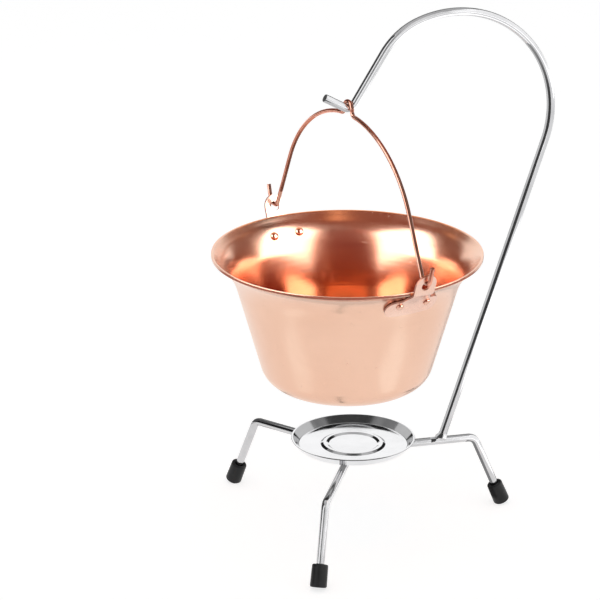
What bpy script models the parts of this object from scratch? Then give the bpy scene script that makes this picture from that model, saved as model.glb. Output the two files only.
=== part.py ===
"""Small copper serving cauldron that hangs by its bail from a bent wire stand with a burner dish.

Metres, +Z up, floor at z = 0. The arch and its hook stand in the XZ plane, the arch over +X.
"""
from math import acos, asin, atan2, cos, degrees, hypot, pi, radians, sin, sqrt, tan

import bmesh
import bpy
from mathutils import Matrix, Vector

mm = 0.001

# Driving sizes, in millimetres and degrees.

# Bowl of the cauldron
rim_radius = 90.0
rim_height = 194.2
bowl_wall = 1.2
lip_fall = 30.0
lip_pull = 9.0
neck_radius = 73.5
neck_drop = 22.0
wall_taper = 16.0
wall_pull = 9.0
bowl_depth = 92.5
bottom_crown = 1.6
bottom_corner = 19.0

# Ears, one at each end of a line through the middle of the bowl
ear_line_angle = -78.0
ear_sheet = 1.5
ear_hole_height = 6.7
ear_hole_radius = 3.3
ear_tongue_radius = 7.6
ear_base_top = -6.0
ear_base_bottom = -17.9
ear_base_half = 19.3
ear_base_end = 5.9
ear_neck_fillet = 5.0
ear_past_rim = 2.4
ear_lean = 20.0
ear_bend = 3.0

# Rivets, two to an ear
rivet_half_pitch = 10.0
rivet_drop = 9.4
rivet_shank = 1.5
rivet_outer_head = 2.5
rivet_outer_rise = 1.4
rivet_inner_head = 2.9
rivet_inner_rise = 1.9

# Bail
bail_wire = 1.4
bail_rise = 104.6
bail_arc_radius = 81.3
bail_arc_height = 14.8
kink_fillet = 3.5
end_reach = 7.6
end_lean = 15.0
end_length = 12.2
end_bend = 3.0

# Stand
rod = 2.75
hang_x = -5.0
arch_x = 67.6
arch_z = 282.0
arch_radius = 70.7
arch_foot_x = 63.6
crook_from = 110.0
hook_fall = 58.0
hook_tip_rise = 29.0
hook_tip_length = 20.4
hook_bend = 5.0
leg_centre_z = 54.2
knee_z = 51.3
foot_radius = 109.9
shin_lean = 23.5
knee_bend = 7.0
leg_right_angle = 0.0
leg_left_angle = 120.0
leg_front_angle = 238.5

# Foot caps
cap_radius = 5.6
cap_top_radius = 5.3
cap_length = 15.2
cap_bore_depth = 12.4
cap_round = 1.2
cap_lip = 1.2
sole_press = 0.6

# Burner dish
dish_radius = 41.9
dish_floor_radius = 37.0
dish_height = 5.9
dish_sheet = 1.0
bead_radius = 19.1
bead_half = 1.6
bead_rise = 1.0

# Gaps
fit_gap = 0.3
hook_gap = 0.5

# Sizes that follow
ear_axis_z = rim_height + ear_hole_height
rod_reach = rod + bail_wire + fit_gap
tip_angle = 180.0 - hook_tip_rise
hook_half = radians((tip_angle - hook_fall) / 2)
hook_middle = radians((tip_angle + hook_fall) / 2)
hook_bottom = hook_bend / sin(hook_half) - hook_bend
hook_x = hang_x - (hook_bottom + rod_reach) * cos(hook_middle)
bail_top_z = rim_height + bail_rise
hook_z = bail_top_z - (hook_bottom + rod_reach) * sin(hook_middle)
end_height = ear_hole_height + ear_hole_radius - bail_wire - fit_gap
kink_radius = rod + bail_wire + hook_gap
dish_under_z = leg_centre_z + rod + fit_gap
shin_turn = radians(shin_lean)
foot_z = cap_round * (1 - cos(shin_turn)) + (cap_radius - cap_round) * sin(shin_turn) - sole_press
knee_radius = foot_radius - (knee_z - foot_z) * tan(shin_turn)
leg_slope = atan2(knee_z - leg_centre_z, knee_radius)

# The stand is set so that the middle of the whole object's width is at x = 0.
widest_right = arch_x + arch_radius + rod
widest_left = hang_x - rim_radius
shift_x = -(widest_right + widest_left) / 2

for old in list(bpy.data.objects):
    bpy.data.objects.remove(old, do_unlink=True)

parts = bpy.data.collections.new("serving_cauldron_with_stand")
bpy.context.scene.collection.children.link(parts)
cutters = bpy.data.collections.new("cutters")
cutters.hide_render = True
bpy.context.scene.collection.children.link(cutters)


def make_material(name, colour, metallic, roughness):
    material = bpy.data.materials.new(name)
    material.use_nodes = True
    shader = material.node_tree.nodes["Principled BSDF"]
    shader.inputs["Base Color"].default_value = (*colour, 1.0)
    shader.inputs["Metallic"].default_value = metallic
    shader.inputs["Roughness"].default_value = roughness
    material.diffuse_color = (*colour, 1.0)
    return material


copper = make_material("satin_copper", (0.83, 0.47, 0.34), 1.0, 0.28)
copper_wire = make_material("copper_wire", (0.72, 0.38, 0.27), 1.0, 0.3)
copper_rivet = make_material("copper_rivet", (0.86, 0.5, 0.38), 1.0, 0.2)
chrome = make_material("chromed_rod", (0.75, 0.75, 0.76), 1.0, 0.1)
steel = make_material("polished_steel", (0.68, 0.69, 0.7), 1.0, 0.2)
vinyl = make_material("black_vinyl", (0.02, 0.02, 0.022), 0.0, 0.4)


def make_frame(name, location, parent=None, turn=0.0):
    frame = bpy.data.objects.new(name, None)
    frame.empty_display_size = 0.01
    frame.location = Vector(location) * mm
    frame.rotation_euler = (0, 0, radians(turn))
    frame.parent = parent
    parts.objects.link(frame)
    return frame


def add_part(name, mesh, material, parent, smooth=35.0):
    mesh.name = name
    mesh.materials.clear()
    mesh.materials.append(material)
    mesh.shade_smooth()
    mesh.set_sharp_from_angle(angle=radians(smooth))
    thing = bpy.data.objects.new(name, mesh)
    thing.parent = parent
    parts.objects.link(thing)
    return thing


def add_cutter(name, mesh, parent):
    thing = bpy.data.objects.new(name, mesh)
    thing.parent = parent
    thing.hide_render = True
    thing.display_type = "WIRE"
    cutters.objects.link(thing)
    return thing


def cut(thing, cutter, operation="DIFFERENCE"):
    modifier = thing.modifiers.new(cutter.name, "BOOLEAN")
    modifier.operation = operation
    modifier.solver = "EXACT"
    modifier.object = cutter


def rounded(corners, radii, closed=False, step=12.0):
    """Points of a line through 2-D corners, each corner turned with its own radius."""
    count = len(corners)
    out = []
    for i, corner in enumerate(corners):
        here = Vector(corner)
        if radii[i] == 0 or (not closed and i in (0, count - 1)):
            out.append(here)
            continue
        before = (Vector(corners[i - 1]) - here).normalized()
        after = (Vector(corners[(i + 1) % count]) - here).normalized()
        half = before.angle(after) / 2
        middle = here + (before + after).normalized() * radii[i] / sin(half)
        start = here + before * radii[i] / tan(half) - middle
        end = here + after * radii[i] / tan(half) - middle
        turn = pi - 2 * half
        pieces = max(2, round(degrees(turn) / step))
        side = 1 if start.x * end.y - start.y * end.x > 0 else -1
        for k in range(pieces + 1):
            a = side * turn * k / pieces
            out.append(middle + Vector((start.x * cos(a) - start.y * sin(a), start.x * sin(a) + start.y * cos(a))))
    return out


def arc(cx, cy, radius, start, end, pieces):
    points = []
    for k in range(pieces + 1):
        a = radians(start + (end - start) * k / pieces)
        points.append(Vector((cx + radius * cos(a), cy + radius * sin(a))))
    return points


def offset(points, distance):
    """The same open 2-D line moved sideways, to the left of its own direction."""
    out = []
    for i, point in enumerate(points):
        ahead = points[min(i + 1, len(points) - 1)]
        behind = points[max(i - 1, 0)]
        way = (ahead - behind).normalized()
        out.append(point + Vector((-way.y, way.x)) * distance)
    return out


def wire_mesh(points, radius, resolution=3):
    """A round wire along 3-D points given in millimetres, with closed ends."""
    curve = bpy.data.curves.new("wire", "CURVE")
    curve.dimensions = "3D"
    curve.bevel_depth = radius * mm
    curve.bevel_resolution = resolution
    curve.use_fill_caps = True
    spline = curve.splines.new("POLY")
    spline.points.add(len(points) - 1)
    for place, point in zip(spline.points, points):
        place.co = (*(Vector(point) * mm), 1.0)
    holder = bpy.data.objects.new("wire", curve)
    bpy.context.scene.collection.objects.link(holder)
    bpy.context.view_layer.update()
    mesh = bpy.data.meshes.new_from_object(holder.evaluated_get(bpy.context.evaluated_depsgraph_get()))
    bpy.data.objects.remove(holder, do_unlink=True)
    close_mesh(mesh)
    return mesh


def close_mesh(mesh):
    work = bmesh.new()
    work.from_mesh(mesh)
    bmesh.ops.remove_doubles(work, verts=work.verts, dist=0.000001)
    bmesh.ops.recalc_face_normals(work, faces=work.faces)
    work.to_mesh(mesh)
    work.free()


def swept_mesh(section, angles):
    """A closed (radius, height) section carried round the z axis through the given angles."""
    work = bmesh.new()
    rings = []
    for a in angles:
        rings.append([work.verts.new(Vector((p.x * cos(a), p.x * sin(a), p.y)) * mm) for p in section])
    count = len(section)
    for near, far in zip(rings, rings[1:]):
        for i in range(count):
            j = (i + 1) % count
            work.faces.new((near[i], near[j], far[j], far[i]))
    work.faces.new(rings[0])
    work.faces.new(rings[-1])
    bmesh.ops.recalc_face_normals(work, faces=work.faces)
    mesh = bpy.data.meshes.new("swept")
    work.to_mesh(mesh)
    work.free()
    return mesh


def turned_mesh(outline, steps):
    """A closed outline, from the axis down its outer side and back to the axis, turned round z."""
    mesh = bpy.data.meshes.new("outline")
    corners = [Vector((p.x, 0, p.y)) * mm for p in outline]
    edges = [(i, i + 1) for i in range(len(corners) - 1)]
    if outline[0].x > 0.001:
        edges.append((len(corners) - 1, 0))
    mesh.from_pydata(corners, edges, [])
    holder = bpy.data.objects.new("turned", mesh)
    bpy.context.scene.collection.objects.link(holder)
    screw = holder.modifiers.new("turn", "SCREW")
    screw.steps = steps
    screw.render_steps = steps
    screw.use_merge_vertices = True
    screw.merge_threshold = 0.00001
    bpy.context.view_layer.update()
    result = bpy.data.meshes.new_from_object(holder.evaluated_get(bpy.context.evaluated_depsgraph_get()))
    bpy.data.objects.remove(holder, do_unlink=True)
    close_mesh(result)
    return result


def prism_mesh(outline, start, end):
    """A closed (y, z) outline made into a block that runs along x."""
    work = bmesh.new()
    near = [work.verts.new(Vector((start, p.x, p.y)) * mm) for p in outline]
    far = [work.verts.new(Vector((end, p.x, p.y)) * mm) for p in outline]
    for i in range(len(outline)):
        j = (i + 1) % len(outline)
        work.faces.new((near[i], near[j], far[j], far[i]))
    work.faces.new(near)
    work.faces.new(far)
    bmesh.ops.recalc_face_normals(work, faces=work.faces)
    mesh = bpy.data.meshes.new("prism")
    work.to_mesh(mesh)
    work.free()
    return mesh


def rod_mesh(radius, start, end, sides=24):
    """A plain cylinder along z between two heights."""
    work = bmesh.new()
    bmesh.ops.create_cone(
        work,
        cap_ends=True,
        segments=sides,
        radius1=radius * mm,
        radius2=radius * mm,
        depth=(end - start) * mm,
    )
    bmesh.ops.translate(work, verts=work.verts, vec=(0, 0, (start + end) / 2 * mm))
    mesh = bpy.data.meshes.new("rod")
    work.to_mesh(mesh)
    work.free()
    return mesh


# Frames: the whole object, the bail on its hook, and the cauldron on the line through its ear holes.
base = make_frame("object_frame", (shift_x, 0, 0))
bail_frame = make_frame("bail_frame", (hang_x, 0, bail_top_z), base, ear_line_angle)
cauldron_frame = make_frame("cauldron_frame", (0, 0, ear_axis_z - bail_top_z), bail_frame)


# Bowl. Heights here are measured from the rim, then moved so that z = 0 is the line through the ears.
def flare_point(t):
    """The outside of the turned-out rim, from the neck at t = 0 to the edge at t = 1."""
    taper = radians(wall_taper)
    fall = radians(lip_fall)
    p0 = Vector((neck_radius, -neck_drop))
    p1 = p0 + Vector((sin(taper), cos(taper))) * wall_pull
    p3 = Vector((rim_radius - bowl_wall / 2 * (1 - sin(fall)), -bowl_wall / 2 * cos(fall)))
    p2 = p3 - Vector((cos(fall), sin(fall))) * lip_pull
    return p0 * (1 - t) ** 3 + p1 * 3 * t * (1 - t) ** 2 + p2 * 3 * t**2 * (1 - t) + p3 * t**3


def at_ear_line(points):
    return [Vector((p.x, p.y - ear_hole_height)) for p in points]


flare_steps = 12
flare = [flare_point(k / flare_steps) for k in range(flare_steps + 1)]
low_radius = neck_radius - (bowl_depth - bottom_crown - neck_drop) * tan(radians(wall_taper))
body = rounded(
    [(0, -bowl_depth), (low_radius, -bowl_depth + bottom_crown), (neck_radius, -neck_drop)],
    [0, bottom_corner, 0],
    step=9.0,
)
outside = body[:-1] + flare
outside = [Vector((max(p.x, 0), p.y)) for p in outside]
inside = offset(outside, bowl_wall)
inside[0].x = 0
edge_way = (outside[-1] - inside[-1]).normalized()
edge_out = Vector((edge_way.y, -edge_way.x))
if edge_out.x < 0:
    edge_out = -edge_out
edge_middle = (outside[-1] + inside[-1]) / 2
edge = [
    edge_middle + edge_way * bowl_wall / 2 * cos(radians(a)) + edge_out * bowl_wall / 2 * sin(radians(a))
    for a in (36, 72, 108, 144)
]
bowl_outline = outside + edge + inside[::-1]
bowl = add_part("cauldron_bowl", turned_mesh(at_ear_line(bowl_outline)[::-1], 72), copper, cauldron_frame)

# Rivet places: on the outside of the flare, square to its surface.
low, high = 0.0, 1.0
for _ in range(40):
    middle = (low + high) / 2
    if flare_point(middle).y < -rivet_drop:
        low = middle
    else:
        high = middle
rivet_at = flare_point(low)
rivet_way = (flare_point(low + 0.01) - flare_point(low - 0.01)).normalized()
rivet_slope = degrees(atan2(rivet_way.x, rivet_way.y))
rivet_turn = degrees(asin(rivet_half_pitch / rivet_at.x))
drill_reach = 2 * (bowl_wall + ear_sheet + fit_gap)
rivet_holes = rod_mesh(rivet_shank + fit_gap, -drill_reach, drill_reach, 16)


def rivet_frame(name, ear_turn, side):
    """A frame on the flare's outside whose z axis points out of the metal."""
    frame = bpy.data.objects.new(name, None)
    frame.empty_display_size = 0.004
    frame.parent = cauldron_frame
    around = radians(ear_turn + side * rivet_turn)
    out = radians(90 + rivet_slope)
    turn = Matrix.Rotation(around, 4, "Z") @ Matrix.Rotation(out, 4, "Y")
    spot = Vector((rivet_at.x * cos(around), rivet_at.x * sin(around), rivet_at.y - ear_hole_height)) * mm
    frame.matrix_local = Matrix.Translation(spot) @ turn
    parts.objects.link(frame)
    return frame


# Ear: a strip that lies under the flare, bends up round the rim and is cut to the outline.
seat_line = offset(flare, -(fit_gap + ear_sheet / 2))
lip_way = (flare[-1] - flare_point(0.99)).normalized()
bend_at = seat_line[-1] + lip_way * ear_past_rim
lean = radians(ear_lean)
tongue_rise = ear_hole_height + ear_tongue_radius + 2 * ear_sheet - bend_at.y
tongue_end = bend_at + Vector((tan(lean), 1)) * tongue_rise
upper = rounded([seat_line[-1], bend_at, tongue_end], [0, ear_bend, 0])
strip = seat_line[:-1] + upper
lower_side = offset(strip, -ear_sheet / 2)
upper_side = offset(strip, ear_sheet / 2)
strip_section = at_ear_line(lower_side + upper_side[::-1])
strip_half = asin(1.2 * ear_base_half / neck_radius)
strip_angles = [strip_half * (k / 9 - 1) for k in range(19)]
tongue_top = ear_hole_height + ear_tongue_radius
half_outline = [
    (ear_tongue_radius, tongue_top),
    (ear_tongue_radius, ear_base_top),
    (ear_base_half, ear_base_top),
    (ear_base_half, ear_base_bottom),
]
half_radii = [ear_tongue_radius - 0.01, ear_neck_fillet, ear_base_end, ear_base_end]
ear_corners = half_outline + [(-y, z) for y, z in half_outline[::-1]]
ear_outline = rounded(ear_corners, half_radii + half_radii[::-1], closed=True, step=11.0)
ear_outline = at_ear_line(ear_outline)
hole_spot = Matrix.Rotation(pi / 2, 4, "Y")

for ear_name, ear_turn in (("ear_front", 0), ("ear_back", 180)):
    ear_side = make_frame(ear_name + "_side", (0, 0, 0), cauldron_frame, ear_turn)
    ear = add_part(ear_name, swept_mesh(strip_section, strip_angles), copper, ear_side)
    shape = add_cutter(ear_name + "_outline", prism_mesh(ear_outline, 0.7 * neck_radius, 1.4 * rim_radius), ear_side)
    cut(ear, shape, "INTERSECT")
    hole = add_cutter(ear_name + "_hole", rod_mesh(ear_hole_radius, neck_radius, 1.4 * rim_radius, 28), ear_side)
    hole.matrix_local = hole_spot
    cut(ear, hole)
    for side_name, side in (("left", -1), ("right", 1)):
        name = ear_name.replace("ear", "rivet") + "_" + side_name
        frame = rivet_frame(name + "_frame", ear_turn, side)
        drill = add_cutter(name + "_hole", rivet_holes, frame)
        cut(ear, drill)
        cut(bowl, drill)
        top = fit_gap + ear_sheet + fit_gap
        under = -bowl_wall - fit_gap
        outer = [
            Vector((rivet_outer_head * sin(radians(a)), top + rivet_outer_rise * cos(radians(a))))
            for a in (0, 22, 44, 66, 90)
        ]
        inner = [
            Vector((rivet_inner_head * sin(radians(a)), under - rivet_inner_rise * cos(radians(a))))
            for a in (90, 66, 44, 22, 0)
        ]
        rivet_outline = outer + [Vector((rivet_shank, top)), Vector((rivet_shank, under))] + inner
        rivet_outline[0].x = 0
        rivet_outline[-1].x = 0
        add_part(name, turned_mesh(rivet_outline, 18), copper_rivet, frame)


# Bail: kink over the hook, round arms, and ends that pass out through the ears and turn up.
def bail_half():
    """(along the ear line, height from the rim) from the kink's top to the end beyond one ear."""
    arc_top = bail_arc_height + sqrt(bail_arc_radius**2 - kink_radius**2)
    kink_centre = bail_rise - kink_radius
    kink = arc(0, kink_centre, kink_radius, 90, 0, 8)
    inner = tongue_reach(end_height) - end_reach / 2
    outer = tongue_reach(end_height) + end_reach / 2
    away = hypot(inner, end_height - bail_arc_height)
    leave = atan2(end_height - bail_arc_height, inner) + acos(bail_arc_radius / away)
    start = pi / 2 - asin((kink_radius + kink_fillet) / bail_arc_radius) - radians(1.5)
    arm = arc(0, bail_arc_height, bail_arc_radius, degrees(start), degrees(leave), 22)
    shoulder = rounded([kink[-1], (kink_radius, arc_top - 0.1), arm[0]], [0, kink_fillet, 0], step=15.0)
    tip = (outer + end_length * tan(radians(end_lean)), end_height + end_length)
    ends = rounded([arm[-1], (inner, end_height), (outer, end_height), tip], [0, end_bend, end_bend, 0])
    return kink[:-1] + shoulder + arm[1:] + ends[1:]


def tongue_reach(height):
    """How far from the bowl's axis the middle of the ear's sheet is, at a height above the rim."""
    return bend_at.x + (height - bend_at.y) * tan(lean)


half = bail_half()
whole = [(-p.x, p.y) for p in half[:0:-1]] + [(p.x, p.y) for p in half]
bail_points = [(u, 0, z - bail_rise) for u, z in whole]
add_part("bail_handle", wire_mesh(bail_points, bail_wire, 2), copper_wire, bail_frame)


# Hook rod: up from the right leg, over the arch and down to the hook.
def hook_path():
    middle = Vector((arch_x, arch_z))
    foot = Vector((arch_foot_x, leg_height(arch_foot_x)))
    to_middle = middle - foot
    side = asin(arch_radius / to_middle.length)
    start = degrees(atan2(to_middle.y, to_middle.x) - side) - 90
    arch = arc(arch_x, arch_z, arch_radius, start, crook_from, 26)
    fall = radians(hook_fall)
    away = Vector((sin(fall), -cos(fall)))
    from_line = (middle - Vector((hook_x, hook_z))).dot(away)
    share = Vector((cos(radians(crook_from)), sin(radians(crook_from)))).dot(away)
    crook_radius = (from_line + arch_radius * share) / (1 + share)
    toward = radians(crook_from)
    crook = middle + Vector((cos(toward), sin(toward))) * (arch_radius - crook_radius)
    falling = arc(crook.x, crook.y, crook_radius, crook_from, 90 + hook_fall, 8)
    rise = radians(tip_angle)
    tip = (hook_x + hook_tip_length * cos(rise), hook_z + hook_tip_length * sin(rise))
    hook = rounded([falling[-1], (hook_x, hook_z), tip], [0, hook_bend, 0])
    return [foot] + arch + falling[1:] + hook[1:]


def leg_height(reach):
    return leg_centre_z + (knee_z - leg_centre_z) * reach / knee_radius


hook_rod = add_part("hook_rod", wire_mesh([(p.x, 0, p.y) for p in hook_path()], rod), chrome, base)

# Legs: three alike, mitred where they meet and bent down at the knee.
shin = Vector((sin(shin_turn), -cos(shin_turn)))
leg_end = Vector((foot_radius, foot_z)) - shin * (cap_length - cap_bore_depth + fit_gap)
leg_line = rounded([(0, leg_centre_z), (knee_radius, knee_z), leg_end], [0, knee_bend, 0])
mitre = tan(radians(60))
wedge = [
    (fit_gap / sqrt(3), 0),
    (fit_gap / sqrt(3) + 2 * foot_radius, -2 * foot_radius * mitre),
    (fit_gap / sqrt(3) + 2 * foot_radius, 2 * foot_radius * mitre),
]


def wedge_mesh():
    work = bmesh.new()
    lower = [work.verts.new(Vector((x, y, -leg_centre_z)) * mm) for x, y in wedge]
    higher = [work.verts.new(Vector((x, y, 2 * leg_centre_z)) * mm) for x, y in wedge]
    for i in range(3):
        j = (i + 1) % 3
        work.faces.new((lower[i], lower[j], higher[j], higher[i]))
    work.faces.new(lower)
    work.faces.new(higher)
    bmesh.ops.recalc_face_normals(work, faces=work.faces)
    mesh = bpy.data.meshes.new("wedge")
    work.to_mesh(mesh)
    work.free()
    return mesh


cap_frame_spot = Vector((foot_radius, 0, foot_z)) * mm
cap_turn = Matrix.Rotation(-shin_turn, 4, "Y")
cap_outline = rounded(
    [
        (0, 0),
        (cap_radius, 0),
        (cap_top_radius, cap_length),
        (rod + fit_gap, cap_length),
        (rod + fit_gap, cap_length - cap_bore_depth),
        (0, cap_length - cap_bore_depth),
    ],
    [0, cap_round, cap_lip, 0, 0, 0],
    step=15.0,
)
for leg_name, leg_turn in (("right", leg_right_angle), ("left", leg_left_angle), ("front", leg_front_angle)):
    leg_frame = make_frame("leg_" + leg_name + "_frame", (0, 0, 0), base, leg_turn)
    leg_points = [(-3, 0, leg_centre_z)] + [(p.x, 0, p.y) for p in leg_line]
    leg = add_part("leg_" + leg_name, wire_mesh(leg_points, rod), chrome, leg_frame)
    cut(leg, add_cutter("leg_" + leg_name + "_mitre", wedge_mesh(), leg_frame), "INTERSECT")
    cap = add_part("foot_cap_" + leg_name, turned_mesh(cap_outline[::-1], 24), vinyl, leg_frame)
    cap.matrix_local = Matrix.Translation(cap_frame_spot) @ cap_turn
    sole = add_cutter("foot_cap_" + leg_name + "_floor", rod_mesh(4 * cap_radius, -cap_length, 0, 12), leg_frame)
    sole.location = Vector((foot_radius, 0, 0)) * mm
    cut(cap, sole)

# The hook rod's lower end is shaped to sit on the right leg.
cope = add_cutter("hook_rod_cope", rod_mesh(rod + fit_gap, -6 * rod, 6 * rod, 32), base)
cope_spot = Vector((arch_foot_x, 0, leg_height(arch_foot_x))) * mm
cope.matrix_local = Matrix.Translation(cope_spot) @ Matrix.Rotation(pi / 2 - leg_slope, 4, "Y")
cut(hook_rod, cope)

# Burner dish: flat floor with a raised ring and a slanted rim.
slant = atan2(dish_height, dish_radius - dish_floor_radius)
top_side = rounded(
    [
        (0, dish_sheet),
        (bead_radius - bead_half * 1.8, dish_sheet),
        (bead_radius - bead_half * 0.6, dish_sheet + bead_rise),
        (bead_radius + bead_half * 0.6, dish_sheet + bead_rise),
        (bead_radius + bead_half * 1.8, dish_sheet),
        (dish_floor_radius - dish_sheet * tan(slant / 2), dish_sheet),
        (dish_radius - dish_sheet / sin(slant), dish_height),
    ],
    [0, 1.0, 1.0, 1.0, 1.0, 1.5, 0],
    step=20.0,
)
under_side = rounded(
    [(dish_radius, dish_height - 0.3), (dish_floor_radius, 0), (0, 0)],
    [0, 2.5, 0],
    step=15.0,
)
dish_outline = top_side + [Vector((dish_radius - 0.35, dish_height))] + under_side
dish = add_part("burner_dish", turned_mesh(dish_outline, 72), steel, base, 30.0)
dish.location = Vector((0, 0, dish_under_z)) * mm
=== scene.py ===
# The looks of a small copper serving cauldron that hangs from a chromed wire stand.
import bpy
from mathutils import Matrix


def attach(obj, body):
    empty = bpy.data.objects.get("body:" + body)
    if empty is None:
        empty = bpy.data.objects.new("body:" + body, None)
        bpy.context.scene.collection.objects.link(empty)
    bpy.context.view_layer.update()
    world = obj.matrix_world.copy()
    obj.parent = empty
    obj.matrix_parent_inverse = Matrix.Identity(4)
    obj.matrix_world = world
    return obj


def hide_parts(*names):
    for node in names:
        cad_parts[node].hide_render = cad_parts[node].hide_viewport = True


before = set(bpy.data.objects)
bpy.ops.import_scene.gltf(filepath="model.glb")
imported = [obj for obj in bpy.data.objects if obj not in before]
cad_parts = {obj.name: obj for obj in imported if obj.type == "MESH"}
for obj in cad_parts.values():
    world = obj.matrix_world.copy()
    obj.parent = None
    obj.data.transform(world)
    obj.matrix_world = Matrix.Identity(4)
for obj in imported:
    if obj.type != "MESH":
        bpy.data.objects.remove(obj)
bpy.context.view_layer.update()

from math import acos, asin, atan2, cos, degrees, hypot, pi, radians, sin, sqrt, tan

import bpy
from mathutils import Matrix, Vector

mm = 0.001
# millimetres and degrees: the stand's and the pot's upright lines, the rim's height, the way to the front ear
standX = -23.025
potX = -28.025
rimZ = 194.2
earLine = -78.0
rodRadius = 2.75
poleRadius = 0.0005


# small helpers for lines and meshes

def arcPoints(cx, cy, radius, start, end, pieces):
    # points round a 2-D centre, from one angle to the other in degrees
    turns = [radians(start + (end - start) * k / pieces) for k in range(pieces + 1)]
    return [Vector((cx + radius * cos(a), cy + radius * sin(a))) for a in turns]


def filletLine(corners, radii, step=6.0):
    # rounds the corners of an open 2-D line
    out = [Vector(corners[0])]
    for i in range(1, len(corners) - 1):
        here = Vector(corners[i])
        if not radii[i]:
            out.append(here)
            continue
        before = (Vector(corners[i - 1]) - here).normalized()
        after = (Vector(corners[i + 1]) - here).normalized()
        half = before.angle(after) / 2
        middle = here + (before + after).normalized() * radii[i] / sin(half)
        start = here + before * radii[i] / tan(half) - middle
        end = here + after * radii[i] / tan(half) - middle
        turn = pi - 2 * half
        side = 1 if start.x * end.y - start.y * end.x > 0 else -1
        pieces = max(2, round(degrees(turn) / step))
        for k in range(pieces + 1):
            a = side * turn * k / pieces
            spun = (start.x * cos(a) - start.y * sin(a), start.x * sin(a) + start.y * cos(a))
            out.append(middle + Vector(spun))
    return out + [Vector(corners[-1])]


def offsetLine(points, distance):
    # moves an open 2-D line to its left
    out = []
    for i, point in enumerate(points):
        way = (points[min(i + 1, len(points) - 1)] - points[max(i - 1, 0)]).normalized()
        out.append(point + Vector((-way.y, way.x)) * distance)
    return out


def editAll():
    bpy.ops.object.mode_set(mode="EDIT")
    bpy.ops.mesh.select_all(action="SELECT")


def leaveEdit():
    bpy.ops.object.mode_set(mode="OBJECT")


def clearSelection():
    if bpy.context.object and bpy.context.object.mode != "OBJECT":
        leaveEdit()
    bpy.ops.object.select_all(action="DESELECT")


def named(name):
    # what was added last, under its own name
    thing = bpy.context.object
    thing.name = name
    return thing


def pick(thing):
    clearSelection()
    thing.select_set(True)
    bpy.context.view_layer.objects.active = thing


def settle(thing):
    # leaves the object at the origin, with its place in its mesh
    pick(thing)
    bpy.ops.object.transform_apply(location=True, rotation=True, scale=True)


def pointOut(thing, weld=0.002):
    # joins points closer than weld millimetres, and turns the faces outward
    pick(thing)
    editAll()
    bpy.ops.mesh.remove_doubles(threshold=weld * mm)
    bpy.ops.mesh.normals_make_consistent(inside=False)
    leaveEdit()


def smooth(thing, angle=50.0):
    pick(thing)
    bpy.ops.object.shade_smooth_by_angle(angle=radians(angle))


def finishShape(thing, angle=50.0):
    settle(thing)
    pointOut(thing)
    smooth(thing, angle)


def copyTo(thing, name, x, z, angle):
    # a copy with its own mesh, turned about the upright line through x and raised by z
    pick(thing)
    bpy.ops.object.duplicate()
    copy = named(name)
    copy.location = (x * mm, 0, z * mm)
    copy.rotation_euler = (0, 0, radians(angle))
    settle(copy)
    return copy


def discard(thing):
    # what was only there to be copied
    pick(thing)
    bpy.ops.object.delete()


def addModifier(thing, kind, **settings):
    modifier = thing.modifiers.new(kind.title(), kind)
    for key, value in settings.items():
        setattr(modifier, key, value)
    pick(thing)
    bpy.ops.object.modifier_apply(modifier=modifier.name)


def softenEdges(thing, width, segments):
    # rounds every edge sharper than 50 degrees
    addModifier(thing, "BEVEL", width=width * mm, segments=segments, limit_method="ANGLE",
                angle_limit=radians(50))


def closeRing(rise):
    # pulls the selected ring up by rise millimetres and into one point
    bpy.ops.mesh.extrude_region_move(TRANSFORM_OT_translate={"value": (0, 0, rise * mm)})
    bpy.ops.mesh.merge(type="CENTER")


def turnProfile(name, profile, steps):
    # pulls a circle ring by ring along (radius, height) pairs round the z axis; a radius of 0 is a pole
    rings = [p for p in profile if p[0] > poleRadius]
    firstRadius, firstHeight = rings[0]
    clearSelection()
    bpy.ops.mesh.primitive_circle_add(vertices=steps, radius=firstRadius * mm,
                                      location=(0, 0, firstHeight * mm))
    thing = named(name)
    bpy.ops.object.transform_apply(location=True, rotation=True, scale=True)
    editAll()
    for (oldRadius, oldHeight), (radius, height) in zip(rings, rings[1:]):
        bpy.ops.mesh.extrude_region_move(TRANSFORM_OT_translate={"value": (0, 0, (height - oldHeight) * mm)})
        grow = radius / oldRadius
        bpy.ops.transform.resize(value=(grow, grow, 1), center_override=(0, 0, height * mm))
    if profile[-1][0] <= poleRadius:
        closeRing(profile[-1][1] - rings[-1][1])
    leaveEdit()
    if profile[0][0] <= poleRadius:
        # the first ring is selected again and closed the other way
        for vertex in thing.data.vertices:
            vertex.select = vertex.index < steps
        for edge in thing.data.edges:
            edge.select = max(edge.vertices) < steps
        bpy.ops.object.mode_set(mode="EDIT")
        bpy.ops.mesh.select_mode(type="VERT")
        closeRing(profile[0][1] - firstHeight)
        leaveEdit()
    return thing


def newCurve(name):
    clearSelection()
    bpy.ops.curve.primitive_bezier_curve_add(location=(0, 0, 0))
    thing = named(name)
    thing.data.splines.clear()
    return thing


def drawLine(curve, points):
    # a straight-sided line through points in millimetres
    spline = curve.splines.new("POLY")
    spline.points.add(len(points) - 1)
    for place, point in zip(spline.points, points):
        place.co = (*(Vector(point).to_3d() * mm), 1)
    return spline


def bendWire(name, points, radius, sides, endRound):
    # a round wire along 3-D points in millimetres, with flat ends whose edges are rounded
    thing = newCurve(name)
    thing.data.dimensions = "3D"
    drawLine(thing.data, points)
    thing.data.bevel_depth = radius * mm
    thing.data.bevel_resolution = sides // 4 - 1
    thing.data.use_fill_caps = True
    bpy.ops.object.convert(target="MESH")
    pointOut(thing)
    softenEdges(thing, endRound, 3)
    return thing


# shader maths: a wrapped socket that can be added and multiplied in Python

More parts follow.
